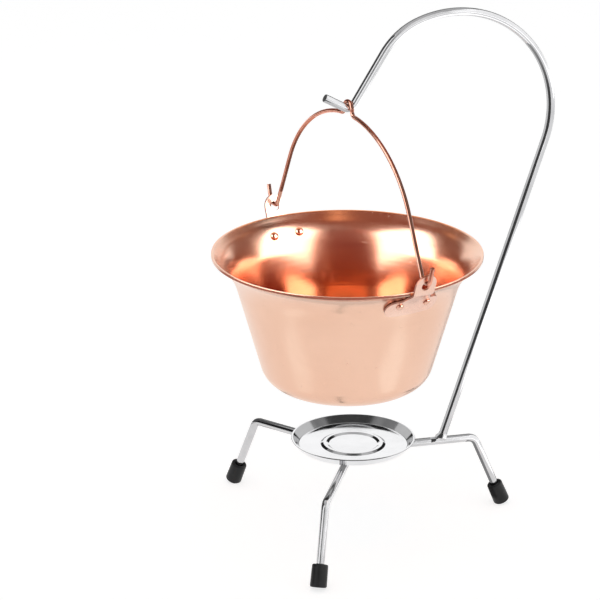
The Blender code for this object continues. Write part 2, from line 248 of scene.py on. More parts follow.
class Wire:
    def __init__(self, finish, socket):
        self.finish = finish
        self.socket = socket

    def maths(self, operation, *values):
        return self.finish.node("ShaderNodeMath", {"operation": operation}, dict(enumerate(values)))

    def __add__(self, other):
        return self.maths("ADD", self, other)

    def __radd__(self, other):
        return self.maths("ADD", other, self)

    def __sub__(self, other):
        return self.maths("SUBTRACT", self, other)

    def __rsub__(self, other):
        return self.maths("SUBTRACT", other, self)

    def __mul__(self, other):
        return self.maths("MULTIPLY", self, other)

    def __rmul__(self, other):
        return self.maths("MULTIPLY", other, self)

    def __truediv__(self, other):
        return self.maths("DIVIDE", self, other)

    def __rtruediv__(self, other):
        return self.maths("DIVIDE", other, self)

    def __pow__(self, other):
        return self.maths("POWER", self, other)

    def __rpow__(self, other):
        return self.maths("POWER", other, self)

    def __abs__(self):
        return self.maths("ABSOLUTE", self)

    def ramp(self, low, high):
        # 0 up to low, 1 from high on, and a smooth rise between them
        return self.finish.node("ShaderNodeMapRange", {"interpolation_type": "SMOOTHSTEP"},
                                {0: self, 1: low, 2: high})


class Finish:
    def __init__(self, name, colour):
        self.material = bpy.data.materials.new(name)
        self.material.use_nodes = True
        self.material.diffuse_color = (*colour, 1)
        self.tree = self.material.node_tree
        self.surface = self.tree.nodes["Principled BSDF"]
        self.object = self.node("ShaderNodeTexCoord", out="Object")

    def plug(self, place, value):
        # a wire is linked to the socket, and a plain value is set on it
        if isinstance(value, Wire):
            self.tree.links.new(value.socket, place)
        else:
            place.default_value = value

    def node(self, kind, settings=None, values=None, out=0):
        # any node: its kind, its settings, then its sockets by name or number
        made = self.tree.nodes.new(kind)
        for key, value in (settings or {}).items():
            setattr(made, key, value)
        for key, value in (values or {}).items():
            self.plug(made.inputs[key], value)
        return Wire(self, made.outputs[out])

    def noise(self, scale, detail=3.0, roughness=0.5, distortion=0.0, where=None):
        return self.node("ShaderNodeTexNoise", None,
                         {"Vector": where or self.object, "Scale": scale, "Detail": detail,
                          "Roughness": roughness, "Distortion": distortion})

    def mix(self, factor, first, second):
        # a colour mix has its colours on sockets 6 and 7, and gives its result on 2
        first = first if isinstance(first, Wire) else (*first, 1)
        second = second if isinstance(second, Wire) else (*second, 1)
        return self.node("ShaderNodeMix", {"data_type": "RGBA"}, {0: factor, 6: first, 7: second}, 2)

    def axes(self, centre=(0, 0, 0)):
        # position from a centre in millimetres, as separate numbers in millimetres
        moved = self.node("ShaderNodeVectorMath", {"operation": "SUBTRACT"},
                          {0: self.object, 1: tuple(v * mm for v in centre)})
        parts = self.node("ShaderNodeSeparateXYZ", None, {0: moved}).socket.node
        return [Wire(self, part) * (1 / mm) for part in parts.outputs]

    def vector(self, x, y, z):
        return self.node("ShaderNodeCombineXYZ", None, {0: x, 1: y, 2: z})

    def around(self, centre, wrap, rise):
        # coordinates round an upright axis: wrap stretches round it, rise sets how fine the rings are
        x, y, z = self.axes(centre)
        radius = (x * x + y * y + 0.01) ** 0.5
        return self.vector(x / radius * wrap, y / radius * wrap, (z + radius) * rise)

    def bump(self, height, strength, distance, normal=None):
        values = {"Height": height, "Strength": strength, "Distance": distance * mm}
        if normal:
            values["Normal"] = normal
        return self.node("ShaderNodeBump", None, values)

    def set(self, **sockets):
        for key, value in sockets.items():
            self.plug(self.surface.inputs[key.replace("_", " ")], value)
        return self.material


def paint(thing, material, slotName, body, *nodes):
    # gives a piece its finish and body, hides the CAD nodes that it replaces, and gives it the light of its
    # metal by its slot
    thing.data.materials.clear()
    thing.data.materials.append(material)
    thing.data.name = thing.name
    if nodes:
        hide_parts(*nodes)
    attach(thing, body)
    litPieces[litBy[slotName]].objects.link(thing)


# camera, light and floor

cameraPlace = {"turn": -18.907, "height": 19.741, "roll": 0.05, "distance": 2053.6, "side": -35.97,
               "aim": 161.23, "lens": 185.3, "sensor": 36.0, "near": 0.05, "far": 30.0}

turn = radians(cameraPlace["turn"])
height = radians(cameraPlace["height"])
back = Vector((sin(turn) * cos(height), -cos(turn) * cos(height), sin(height)))
right = Vector((cos(turn), sin(turn), 0))
up = back.cross(right)
front = Vector((back.x, back.y, 0)).normalized()
roll = radians(cameraPlace["roll"])
rolledRight = right * cos(roll) + up * sin(roll)
rolledUp = up * cos(roll) - right * sin(roll)
spot = Vector((standX, 0, cameraPlace["aim"])) + rolledRight * cameraPlace["side"]
spot = (spot + back * cameraPlace["distance"]) * mm
clearSelection()
bpy.ops.object.camera_add(location=spot)
camera = named("photoCamera")
camera.rotation_euler = Matrix((rolledRight, rolledUp, back)).transposed().to_euler()
camera.data.lens = cameraPlace["lens"]
camera.data.sensor_width = cameraPlace["sensor"]
camera.data.clip_start = cameraPlace["near"]
camera.data.clip_end = cameraPlace["far"]
bpy.context.scene.camera = camera
print("camera placed")

# lengths in metres; a panel near the floor is at lowPanel and faces up, one overhead faces down
studio = {"worldDim": 0.012, "floorSide": 12.0, "floorZ": -0.0002, "floorGlow": 0.78, "floorTone": 0.45,
          "lowPanel": 0.004}
white = (1, 1, 1)
# the pot, the wire, the rods and the dish each have their own lights, as if each had been shot apart
# name, turn from the camera, bottom, top, distance, width, radiance, colour where it isn't white
uprights = {
    "copper": [
        ("softboxLeft", -69.5, -0.1, 1.95, 1.3, 1.75, 4.4),
        ("softboxRight", 70.0, -0.05, 2.2, 1.3, 1.65, 4.4),
        ("wallBack", 180.0, 0.02, 1.7, 1.7, 2.6, 1.1),
        ("warmRoom", 0.0, 0.0, 3.0, 1.9, 3.0, 0.21, (1, 0.17, 0.09)),
        ("warmCeiling", 0.0, 2.7, 2.7, 0.0, 3.4, 0.25, (1, 0.25, 0.12)),
        ("warmLeft", -125.0, 0.0, 2.4, 1.9, 1.2, 0.2, (1, 0.3, 0.15)),
        ("warmRight", 125.0, 0.0, 2.4, 1.9, 1.2, 0.2, (1, 0.3, 0.15)),
        ("warmBackTop", 180.0, 1.4, 4.3, 1.2, 2.8, 1.05, (1, 0.6, 0.32)),
    ],
    "wire": [
        ("wireLeft", -66.0, 0.0, 2.2, 1.3, 1.0, 2.6),
        ("wireRight", 60.0, 0.0, 2.2, 1.3, 0.9, 0.4),
        ("wireFront", 0.0, 0.2, 2.8, 1.7, 2.2, 0.2, (1, 0.6, 0.5)),
        ("wireBack", 180.0, 0.0, 2.8, 1.7, 4.0, 0.28, (1, 0.4, 0.3)),
        ("wireCeiling", 0.0, 2.7, 2.7, 0.0, 3.0, 0.4, (1, 0.5, 0.4)),
    ],
    "rods": [
        ("rodLeft", -49.0, 0.05, 1.9, 1.35, 0.9, 1.3),
        ("rodFrontRight", 23.0, -0.05, 3.0, 1.9, 1.4, 1.0),
        ("rodRight", 92.0, 0.0, 2.3, 1.35, 3.2, 1.3),
        ("rodBack", 180.0, 0.1, 2.2, 1.75, 2.2, 0.24),
        ("rodFront", -12.0, 0.35, 3.0, 1.9, 1.1, 0.3),
        ("rodBackLeft", -120.0, 0.1, 2.4, 1.6, 1.6, 0.09),
        ("rodCeiling", 0.0, 2.7, 2.7, 0.0, 3.6, 0.6),
    ],
    "dish": [
        ("dishBack", 180.0, 0.1, 1.9, 1.75, 1.1, 1.1),
        ("dishLeft", -105.0, 0.0, 1.7, 1.35, 2.4, 0.55),
        ("dishRight", 105.0, 0.0, 1.7, 1.35, 2.4, 0.6),
    ],
}
# level panels: name, reach towards the camera, reach to the right, radiance, colour, height if not low
levels = {
    "copper": [
        ("lipFloorFront", (0.4, 2.4), (-2.4, 2.4), 0.36, (1, 0.4, 0.34)),
        ("lipFloorLeft", (-0.36, 0.4), (-2.4, -0.4), 0.36, (1, 0.4, 0.34)),
        ("lipFloorRight", (-0.36, 0.4), (0.4, 2.4), 0.36, (1, 0.4, 0.34)),
        ("warmSpot", (0.2, 0.62), (0.0, 0.34), 1.0, (1, 0.55, 0.3), 2.69),
        ("floorGlowLeft", (0.065, 0.125), (-0.22, -0.13), 0.16, (0.6, 1, 1.15)),
        ("floorGlowRight", (0.075, 0.14), (0.075, 0.165), 0.2, (0.6, 1, 1.15)),
    ],
    "wire": [("wireFloor", (-2.4, 2.4), (-2.4, 2.4), 0.3, (1, 0.38, 0.28))],
    "rods": [
        ("rodFloorRight", (-0.36, 2.4), (0.15, 2.6), 0.95),
        ("rodFloorLeft", (-0.36, 0.7), (-2.6, -0.6), 0.8),
    ],
    "dish": [],
}
# this one lights every piece, and no reflection shows it
topPanel = ("topLight", 0.0, 2.2, 2.2, 0.0, 6.0, 0.75)
litPieces = {kind: bpy.data.collections.new(kind + "Pieces") for kind in uprights}
litBy = {"satin_copper": "copper", "copper_rivet": "copper", "copper_wire": "wire", "chromed_rod": "rods",
         "black_vinyl": "rods", "polished_steel": "dish"}


def towards(angle):
    # a level direction, turned from the camera's side of the object towards its right
    a = radians(angle)
    return front * cos(a) + right * sin(a)


def addSoftLight(name, place, turned, wide, tall, radiance, colour):
    # the energy follows the size, so that a panel keeps its brightness in reflections
    clearSelection()
    bpy.ops.object.light_add(type="AREA", location=place)
    lamp = named(name)
    lamp.rotation_euler = turned
    lamp.data.shape = "RECTANGLE"
    lamp.data.size = wide
    lamp.data.size_y = tall
    lamp.data.energy = radiance * pi * wide * tall
    lamp.data.color = colour
    lamp.visible_camera = False
    return lamp


def addPanel(name, angle, bottom, top, distance, width, radiance, colour=white):
    # an upright panel that faces the object, or a square one overhead where the distance is 0
    tall = top - bottom if distance else width
    place = towards(angle) * distance + Vector((0, 0, (bottom + top) / 2))
    facing = towards(angle) if distance else Vector((0, 0, 1))
    turned = facing.to_track_quat("Z", "Y").to_euler()
    return addSoftLight(name, place, turned, width, tall, radiance, colour)


def addLevel(name, ahead, aside, radiance, colour=white, high=studio["lowPanel"]):
    place = front * sum(ahead) / 2 + right * sum(aside) / 2 + Vector((0, 0, high))
    axes = (right, -front, Vector((0, 0, 1))) if high > 1 else (right, front, Vector((0, 0, -1)))
    turned = Matrix(axes).transposed().to_euler()
    return addSoftLight(name, place, turned, aside[1] - aside[0], ahead[1] - ahead[0], radiance, colour)


addPanel(*topPanel).visible_glossy = False
for kind, pieces in litPieces.items():
    for panel in uprights[kind]:
        addPanel(*panel).light_linking.receiver_collection = pieces
    for panel in levels[kind]:
        addLevel(*panel).light_linking.receiver_collection = pieces

world = bpy.data.worlds.new("dimStudio")
bpy.context.scene.world = world
world.use_nodes = True
worldLight = world.node_tree.nodes["Background"]
worldLight.inputs["Color"].default_value = (*white, 1)
worldLight.inputs["Strength"].default_value = studio["worldDim"]
bpy.context.scene.view_settings.view_transform = "Standard"


def paintPale(thing, scale, dark, light, rough, glow):
    # a matt paint with its own glow
    finish = Finish(thing.name + "Paint", (0.9, 0.9, 0.9))
    grain = finish.noise(scale)
    thing.data.materials.append(finish.set(
        Base_Color=finish.mix(grain, (dark,) * 3, (light,) * 3), Roughness=rough, Specular_IOR_Level=0.0,
        Emission_Color=(*white, 1), Emission_Strength=glow))


clearSelection()
bpy.ops.mesh.primitive_plane_add(size=studio["floorSide"], location=(0, 0, studio["floorZ"]))
floor = named("paleFloor")
paintPale(floor, 3.0, studio["floorTone"] * 0.98, studio["floorTone"], 0.9, studio["floorGlow"])

# a pale backdrop behind the floor's edge, which only the camera sees
backdrop = {"radius": 5.9, "bottom": -4.0, "top": 7.0, "glow": 1.15, "sides": 96}
clearSelection()
bpy.ops.mesh.primitive_cylinder_add(
    vertices=backdrop["sides"], radius=backdrop["radius"], depth=backdrop["top"] - backdrop["bottom"],
    end_fill_type="NOTHING", location=(0, 0, (backdrop["top"] + backdrop["bottom"]) / 2))
wall = named("paleBackdrop")
paintPale(wall, 0.6, 0.05, 0.06, 1.0, backdrop["glow"])
wall.visible_glossy = False
wall.visible_diffuse = False
wall.visible_shadow = False
wall.visible_transmission = False


feltTone = 0.02


def oneSided(name, glow, tint=white):
    # a card face that shows from its front and is clear from behind; glow(finish) is its own light
    finish = Finish(name, (feltTone,) * 3)
    grain = finish.noise(300.0)
    light = glow(finish)
    finish.set(Base_Color=finish.mix(grain, (feltTone * 0.8,) * 3, (feltTone,) * 3), Roughness=1.0,
               Specular_IOR_Level=0.0, Emission_Color=finish.vector(*[light * share for share in tint]),
               Emission_Strength=1.0)
    behind = finish.node("ShaderNodeNewGeometry", out="Backfacing")
    clear = finish.node("ShaderNodeBsdfTransparent")
    face = Wire(finish, finish.surface.outputs[0])
    both = finish.node("ShaderNodeMixShader", None, {0: behind, 1: face, 2: clear})
    finish.plug(finish.tree.nodes["Material Output"].inputs[0], both)
    return finish.material


def evenGlow(scale, change, least):
    # much the same all over, with soft blotches
    return lambda finish: finish.noise(scale) * change + least


def risingGlow(low, high, rise, change, least):
    # paler from one height to another
    even = evenGlow(60.0, change, least)
    return lambda finish: finish.axes()[2].ramp(low, high) * rise + even(finish)


def underGlow(finish):
    # what the dish sees overhead: dark ahead and in the middle of the back, grey elsewhere
    x, y, _ = finish.axes((standX, 0, 0))
    ahead = x * back.x + y * back.y
    aside = x * right.x + y * right.y
    isBack = (0.0 - ahead).ramp(9.0, 13.0)
    deep = (0.0 - ahead).ramp(23.5, 25.5)
    isFront = ahead.ramp(3.0, 6.0)
    sides = abs(aside - 2.5).ramp(10.0, 12.5)
    blotches = finish.noise(110.0) * 1.3 + 0.35
    middle = (1.0 - isBack - isFront) * 0.5
    return (middle + isBack * (sides * 0.17 + (1.0 - sides) * deep * 0.5)) * blotches + 0.035


darkFelt = oneSided("darkFelt", evenGlow(40.0, 0.02, 0.03))
paleFelt = oneSided("paleFelt", evenGlow(60.0, 0.1, 0.92))
bandFelt = oneSided("bandFelt", evenGlow(60.0, 0.3, 0.65))
edgeFelt = oneSided("edgeFelt", evenGlow(60.0, 0.2, 0.2))
# dark under the pot and paler up its side, fading out round the arch, and paler round the arm's bend
coverFelt = oneSided("coverFelt", risingGlow(112.0, 140.0, 0.75, 0.0, 0.02))
streakFelt = oneSided("streakFelt", risingGlow(285.0, 335.0, 0.45, 0.04, 0.03))
armFelt = oneSided("armFelt", risingGlow(246.0, 276.0, 0.6, 0.1, 0.2), (1.0, 0.6, 0.48))
underFelt = oneSided("underFelt", underGlow)


def hideCard(card, felt, body="stand"):
    # a card shows in reflections only, and moves with the body that it belongs to
    card.data.materials.append(felt)
    card.visible_camera = False
    card.visible_diffuse = False
    card.visible_shadow = False
    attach(card, body)


# the dark front of the room begins close to the stand, and everywhere else further out
frontCard = {"turn": -20.0, "near": 0.3, "far": 0.8, "spread": 56.0, "high": 0.001}
clearSelection()
bpy.ops.mesh.primitive_plane_add(size=1.0, location=(0, 0, 0))
card = named("frontCard")
for vertex in card.data.vertices:
    out = frontCard["far"] if vertex.co.x > 0 else frontCard["near"]
    side = 1 if vertex.co.y > 0 else -1
    across = towards(frontCard["turn"] + 90) * out * tan(radians(frontCard["spread"] / 2)) * side
    vertex.co = towards(frontCard["turn"]) * out + across + Vector((0, 0, frontCard["high"]))
hideCard(card, darkFelt)

# and a dark ring all round but behind, which the lip mirrors
outerCard = {"near": 0.44, "far": 3.5, "behind": 0.36, "high": 0.0005, "steps": 96}
clearSelection()
bpy.ops.mesh.primitive_circle_add(vertices=outerCard["steps"], radius=outerCard["near"],
                                  location=(0, 0, outerCard["high"]))
ring = named("outerCard")
editAll()
bpy.ops.mesh.extrude_region_move()
grow = outerCard["far"] / outerCard["near"]
bpy.ops.transform.resize(value=(grow, grow, 1), center_override=(0, 0, 0))
bpy.ops.mesh.select_all(action="SELECT")
bpy.ops.mesh.bisect(plane_co=towards(180) * outerCard["behind"], plane_no=towards(180), clear_outer=True)
leaveEdit()
settle(ring)
hideCard(ring, darkFelt)
print("studio ready")


# finishes

def spunCopper(name, centre, pale, deep, innerShadePale, innerShadeDeep, rough, wrap=1.4, rise=1.9, depth=0.012):
    # sheet copper spun on a lathe and polished: fine rings and soft haze; inside, a deeper, redder painted
    # shade stands in for light bounced round the bowl
    finish = Finish(name, pale)
    fine = finish.noise(1.0, 4.0, 0.65, where=finish.around(centre, wrap, rise))
    broad = finish.noise(1.0, where=finish.around(centre, 0.9, 0.28))
    haze = finish.noise(22.0, 4.0, 0.55, 0.6).ramp(0.3, 0.75)
    specks = finish.noise(420.0, 2.0, 0.6).ramp(0.66, 0.78)
    shade = haze * 0.55 + broad * 0.35
    inner = finish.node("ShaderNodeAttribute", {"attribute_name": "inner"}, None, "Fac")
    # painted shade: the inside takes the deeper, redder colours as far as its value says
    colour = finish.mix(inner, finish.mix(shade, pale, deep), finish.mix(shade, innerShadePale, innerShadeDeep))
    colour = finish.mix(specks * 0.18, colour, (0.42, 0.2, 0.13))
    # smoother low down inside
    low = (0.0 - finish.axes(centre)[2]).ramp(24.0, 50.0) * inner
    roughness = (rough + fine * 0.1 + haze * 0.05) * (1.0 - low * 0.75) + specks * 0.1
    small = finish.bump(fine, 0.35, depth)
    return finish.set(Base_Color=colour, Metallic=1.0, Roughness=roughness, Anisotropic=0.45,
                      Normal=finish.bump(broad, 0.25, depth * 6, small))


def sheetCopper(name, pale, deep, rough):
    # rolled and sheared copper strap: flat sheen, small dents and fine scratches, and painted shade on its
    # cut edges for the shadow line round the strap
    finish = Finish(name, pale)
    x, y, z = finish.axes((potX, 0, rimZ))
    scratches = finish.noise(1.0, 5.0, 0.7, 0.4, finish.vector(x * 0.5, y * 0.5, z * 5.0))
    dents = finish.noise(160.0)
    stain = finish.noise(60.0, 3.0, 0.6).ramp(0.45, 0.75)
    cut = finish.node("ShaderNodeAttribute", {"attribute_name": "cutEdgeShade"}, None, "Fac")
    # painted shade: the cut edges turn dark brown
    colour = finish.mix(cut * 0.85, finish.mix(stain * 0.5, pale, deep), (0.3, 0.11, 0.07))
    roughness = rough + scratches * 0.14 + stain * 0.06 + cut * 0.15
    small = finish.bump(scratches, 0.3, 0.02)
    return finish.set(Base_Color=colour, Metallic=1.0, Roughness=roughness,
                      Normal=finish.bump(dents, 0.3, 0.12, small))


def drawnCopper(name, pale, deep, rough):
    # wire copper: darker where it was bent and handled
    finish = Finish(name, pale)
    handled = finish.noise(75.0, 4.0, 0.6).ramp(0.35, 0.7)
    fine = finish.noise(900.0, 2.0, 0.6)
    colour = finish.mix(handled * 0.8, pale, deep)
    return finish.set(Base_Color=colour, Metallic=1.0, Roughness=rough + handled * 0.1 + fine * 0.06,
                      Normal=finish.bump(fine, 0.25, 0.02))


def chromePlate(name, bright, dull, rough):
    # thin chrome over steel wire: bright, with faint pits and a cloudy film
    finish = Finish(name, bright)
    film = finish.noise(45.0, 4.0, 0.6).ramp(0.35, 0.8)
    pits = finish.noise(950.0, 2.0, 0.7).ramp(0.62, 0.8)
    waves = finish.noise(120.0, 2.0)
    colour = finish.mix(film * 0.5 + pits * 0.3, bright, dull)
    small = finish.bump(pits, 0.4, 0.02)
    return finish.set(Base_Color=colour, Metallic=1.0, Roughness=rough + film * 0.06 + pits * 0.15,
                      Normal=finish.bump(waves, 0.2, 0.06, small))


def pressedSteel(name, centre, bright, dull, rough):
    # dish steel with a faint turned grain
    finish = Finish(name, bright)
    grain = finish.noise(1.0, 4.0, 0.7, where=finish.around(centre, 2.0, 2.4))
    film = finish.noise(50.0, 4.0, 0.6).ramp(0.3, 0.8)
    scuffs = finish.noise(300.0, 4.0, 0.75, 1.5).ramp(0.58, 0.7)
    colour = finish.mix(film * 0.4 + scuffs * 0.25, bright, dull)
    small = finish.bump(grain, 0.3, 0.012)
    return finish.set(Base_Color=colour, Metallic=1.0, Roughness=rough + grain * 0.08 + scuffs * 0.1,
                      Normal=finish.bump(scuffs, 0.15, 0.02, small))


def moulded(name, dark, worn, rough):
    # dipped vinyl: satin skin with a fine grain, paler where it rubs
    finish = Finish(name, dark)
    grain = finish.noise(1400.0, 3.0, 0.6)
    rub = finish.noise(210.0, 4.0, 0.7).ramp(0.5, 0.72)
    low = (3.0 - finish.axes()[2]).ramp(0.0, 3.0)
    colour = finish.mix(rub * (0.3 + low * 0.6), dark, worn)
    return finish.set(Base_Color=colour, Metallic=0.0, Roughness=rough + rub * 0.15, Specular_IOR_Level=0.3,
                      Normal=finish.bump(grain, 0.35, 0.03))


potCopper = spunCopper("potCopper", (potX, 0, rimZ), (0.86, 0.565, 0.425), (0.81, 0.51, 0.375),
                       (0.87, 0.455, 0.305), (0.8, 0.37, 0.235), 0.14)
earCopper = sheetCopper("earCopper", (0.84, 0.56, 0.45), (0.78, 0.46, 0.35), 0.2)
rivetCopper = drawnCopper("rivetCopper", (0.86, 0.55, 0.43), (0.72, 0.4, 0.28), 0.08)
bailCopper = drawnCopper("bailCopper", (0.74, 0.42, 0.32), (0.5, 0.22, 0.14), 0.14)
rodChrome = chromePlate("rodChrome", (0.66, 0.66, 0.67), (0.42, 0.42, 0.43), 0.08)
dishSteel = pressedSteel("dishSteel", (standX, 0, 57), (0.82, 0.82, 0.83), (0.66, 0.66, 0.67), 0.05)
capVinyl = moulded("capVinyl", (0.006, 0.006, 0.0065), (0.03, 0.03, 0.03), 0.4)
weldMetal = chromePlate("weldMetal", (0.72, 0.72, 0.73), (0.36, 0.35, 0.34), 0.16)
print("finishes ready")


# bowl: spun sheet with a flared rim and a soft lip

bowl = {"rim": 90.0, "wall": 1.2, "lipFall": 30.0, "lipPull": 9.0, "neck": 73.5, "neckDrop": 22.0,
        "neckPull": 9.0, "taper": 16.0, "depth": 92.5, "crown": 1.6, "corner": 19.0, "steps": 200,
        "lipFrom": 0.96, "lipOut": 0.1, "lipThick": 2.1, "lipBelow": 0.3, "lipSlant": 0.05, "lipWide": 1.3,
        "lipTilt": 0.1, "lipFoot": (86.6, -0.92), "lipUnder": 0.35, "lipSoft": 0.3, "lipBack": 1.6,
        "shadeFrom": 1.0, "shadeOver": 14.0, "floorFrom": 40.0, "flareRings": 20, "wallRings": 10,
        "floorRings": 8}


def flarePoint(t):
    # the flare as a smooth curve, from the neck at 0 to the lip at 1
    taper = radians(bowl["taper"])
    fall = radians(bowl["lipFall"])
    neck = Vector((bowl["neck"], -bowl["neckDrop"]))
    neckPull = neck + Vector((sin(taper), cos(taper))) * bowl["neckPull"]
    lip = Vector((bowl["rim"] - bowl["wall"] / 2 * (1 - sin(fall)), -bowl["wall"] / 2 * cos(fall)))
    lipPull = lip - Vector((cos(fall), sin(fall))) * bowl["lipPull"]
    s = 1 - t
    return neck * s**3 + neckPull * 3 * t * s**2 + lipPull * 3 * t**2 * s + lip * t**3


def bowlProfile():
    flare = [flarePoint(k / bowl["flareRings"]) for k in range(1, bowl["flareRings"])]
    wallFall = bowl["depth"] - bowl["crown"] - bowl["neckDrop"]
    base = (bowl["neck"] - wallFall * tan(radians(bowl["taper"])), bowl["crown"] - bowl["depth"])
    body = filletLine([(0, -bowl["depth"]), base, (bowl["neck"], -bowl["neckDrop"])],
                      [0, bowl["corner"], 0], 4.0)
    floorRings = [body[0].lerp(body[1], k / bowl["floorRings"]) for k in range(bowl["floorRings"])]
    wallRings = [body[-2].lerp(body[-1], k / bowl["wallRings"]) for k in range(1, bowl["wallRings"])]
    outside = floorRings + body[1:-1] + wallRings + [body[-1]] + flare
    inside = offsetLine(outside, bowl["wall"])
    inside[0].x = 0
    face = bowl["rim"] + bowl["lipOut"]
    low = -bowl["lipThick"] * bowl["lipBelow"]
    high = bowl["lipThick"] * (1 - bowl["lipBelow"])
    lip = filletLine([flarePoint(bowl["lipFrom"]), (face - bowl["lipSlant"], low), (face, high),
                      (face - bowl["lipWide"], high - bowl["lipTilt"]), bowl["lipFoot"]],
                     [0, bowl["lipUnder"], bowl["lipSoft"], bowl["lipBack"], 0], 15.0)
    # the lip stands in for the last points of the flare
    line = outside[:-2] + lip + inside[-4::-1]
    return [(p.x, p.y + rimZ) for p in line]


bowlShell = turnProfile("bowlShell", bowlProfile(), bowl["steps"])
bowlShell.location.x = potX * mm
finishShape(bowlShell)
# a value on its points tells the copper which faces are inside and how much painted shade they take, growing
# from 1 mm to 15 mm below the rim
inner = bowlShell.data.attributes.new("inner", "FLOAT", "POINT")
for vertex in bowlShell.data.vertices:
    facing = (vertex.co.x / mm - potX) * vertex.normal.x + vertex.co.y / mm * vertex.normal.y
    depth = rimZ - vertex.co.z / mm
    isInside = facing < 0 or (vertex.normal.z > 0.5 and depth > bowl["floorFrom"])
    insideShade = min(1.0, max(0.0, (depth - bowl["shadeFrom"]) / bowl["shadeOver"]))
    inner.data[vertex.index].value = insideShade if isInside else 0.0
paint(bowlShell, potCopper, "satin_copper", "cauldron", "cauldron_bowl")
print("bowl done")


# ears: a flat strap outline with its hole, then wrapped under the flare and up past the rim

# rows and columns are cuts that let the strap bend: the axis across them, the first, the step, how many
ear = {"sheet": 1.5, "holeUp": 6.7, "hole": 3.3, "tongue": 7.6, "baseTop": -6.0, "baseBottom": -17.9,
       "baseHalf": 19.3, "baseEnd": 5.9, "neckFillet": 5.0, "pastRim": 2.4, "lean": 20.0, "bend": 3.0,
       "gap": 0.3, "edge": 0.22, "spare": 22.0, "weld": 0.05, "rows": (1, -17.0, 0.9, 35),
       "columns": (0, -18.0, 1.5, 25), "flareSteps": 40, "holeSteps": 40}

flareLine = [flarePoint(k / ear["flareSteps"]) for k in range(ear["flareSteps"] + 1)]
seatLine = offsetLine(flareLine, -(ear["gap"] + ear["sheet"] / 2))
lipWay = (flareLine[-1] - flarePoint(0.99)).normalized()
bendAt = seatLine[-1] + lipWay * ear["pastRim"]
leanTan = tan(radians(ear["lean"]))
tongueEnd = bendAt + Vector((leanTan, 1)) * ear["spare"]
strapLine = seatLine[:-1] + filletLine([seatLine[-1], bendAt, tongueEnd], [0, ear["bend"], 0], 8.0)


def strapReach(z):
    # how far out the strap lies at a height from the rim
    for low, high in zip(strapLine, strapLine[1:]):
        if low.y <= z <= high.y:
            return low.x + (high.x - low.x) * (z - low.y) / (high.y - low.y)
    return strapLine[0].x if z < strapLine[0].y else strapLine[-1].x


def earOutline():
    top = ear["holeUp"] + ear["tongue"]
    half = filletLine([(0, top), (ear["tongue"], top), (ear["tongue"], ear["baseTop"]),
                       (ear["baseHalf"], ear["baseTop"]), (ear["baseHalf"], ear["baseBottom"]),
                       (0, ear["baseBottom"])],
                      [0, ear["tongue"] - 0.01, ear["neckFillet"], ear["baseEnd"], ear["baseEnd"], 0], 6.0)
    return half + [Vector((-p.x, p.y)) for p in half[-2:0:-1]]


def makeEar():
    plate = newCurve("earPlate")
    plate.data.dimensions = "2D"
    plate.data.fill_mode = "BOTH"
    for line in (earOutline(), arcPoints(0, ear["holeUp"], ear["hole"], 0, 360, ear["holeSteps"])[:-1]):
        drawLine(plate.data, line).use_cyclic_u = True
    bpy.ops.object.convert(target="MESH")
    bpy.ops.object.mode_set(mode="EDIT")
    for axis, first, step, count in (ear["rows"], ear["columns"]):
        across = Vector((0, 0, 0))
        across[axis] = 1
        for k in range(count):
            bpy.ops.mesh.select_all(action="SELECT")
            bpy.ops.mesh.bisect(plane_co=across * ((first + step * k) * mm), plane_no=across)
    leaveEdit()
    for vertex in plate.data.vertices:
        side = vertex.co.x / mm
        z = vertex.co.y / mm
        vertex.co = Vector((sqrt(strapReach(z) ** 2 - side**2), side, z)) * mm
    pointOut(plate, ear["weld"])
    # the faces that the thickness adds get the second material, and that becomes a value on each face that
    # marks the cut edges for their painted shade
    plate.data.materials.append(None)
    plate.data.materials.append(None)
    addModifier(plate, "SOLIDIFY", thickness=ear["sheet"] * mm, offset=0.0, use_even_offset=True,
                material_offset_rim=1)
    softenEdges(plate, ear["edge"], 2)
    cut = plate.data.attributes.new("cutEdgeShade", "FLOAT", "FACE")
    for face in plate.data.polygons:
        cut.data[face.index].value = float(face.material_index)
        face.material_index = 0
    finishShape(plate, 35)
    return plate


firstEar = makeEar()
for name, turned in (("front", 0.0), ("back", 180.0)):
    piece = copyTo(firstEar, "earPlate" + name.title(), potX, rimZ, earLine + turned)
    paint(piece, earCopper, "satin_copper", "cauldron", "ear_" + name)
discard(firstEar)
print("ears done")


# rivets: domed heads inside and out

rivet = {"halfPitch": 10.0, "drop": 9.4, "shank": 1.5, "outer": 2.5, "outerRise": 1.4, "inner": 2.9,
         "innerRise": 1.9, "softIn": 0.12, "softEdge": 0.02, "softOuter": 0.12, "softInner": 0.15,
         "steps": 36}

# where the flare is as far down as the rivets
low, high = 0.0, 1.0
for _ in range(40):
    middle = (low + high) / 2
    if flarePoint(middle).y < -rivet["drop"]:
        low = middle
    else:
        high = middle
rivetAt = flarePoint(low)
rivetWay = (flarePoint(low + 0.01) - flarePoint(low - 0.01)).normalized()
rivetSlope = degrees(atan2(rivetWay.x, rivetWay.y))
rivetTurn = degrees(asin(rivet["halfPitch"] / rivetAt.x))


def dome(radius, rise):
    # from the top of a rivet's head to its edge
    return [(radius * sin(radians(a)), rise * cos(radians(a))) for a in range(0, 91, 9)]


